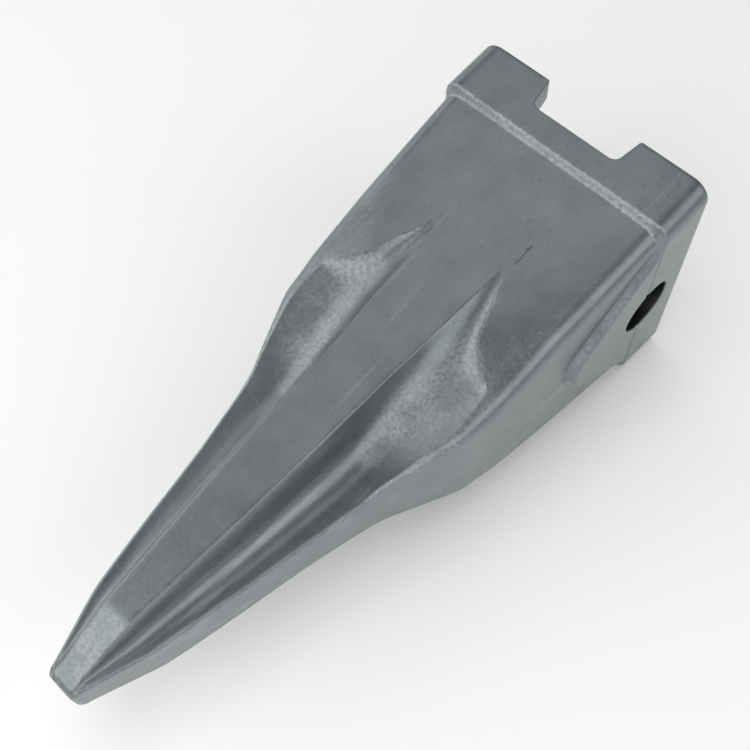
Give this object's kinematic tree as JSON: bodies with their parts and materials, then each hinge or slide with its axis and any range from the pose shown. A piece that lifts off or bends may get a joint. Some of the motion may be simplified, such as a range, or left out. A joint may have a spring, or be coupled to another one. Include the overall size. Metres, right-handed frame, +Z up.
{
  "type": "excavator bucket tooth",
  "caption": "Forged-look bucket tooth with a central spine, fluted blade, hollow socket, rear lugs and a sprung retaining pin.",
  "frame": {"origin": "centre of the retaining pin's bore, midway between the two side pads", "axes": "+X runs back from the tip to the lugs, Y runs along the pin, +Z is up; the tooth's own axis is level"},
  "size_m": [0.3255, 0.1252, 0.133],
  "materials": {
    "cast_steel": "satin",
    "pin_steel": "satin",
    "plunger_steel": "satin",
    "rubber": "matte"
  },
  "bodies": {
    "tooth": {"tooth_casting": "cast_steel"},
    "pin": {"retaining_pin": "pin_steel", "rubber_spring": "rubber"},
    "lock": {"lock_plunger": "plunger_steel"}
  },
  "joints": [
    {"name": "pin_slide", "type": "slide", "parent": "tooth", "child": "pin", "axis": [0, -1, 0], "range_m": [0, 0.125]},
    {"name": "lock_press", "type": "slide", "parent": "pin", "child": "lock", "axis": [1, 0, 0], "range_m": [0, 0.002], "stiffness_N_per_m": 20000, "springref_m": -0.001, "deforming": ["rubber_spring"]}
  ]
}
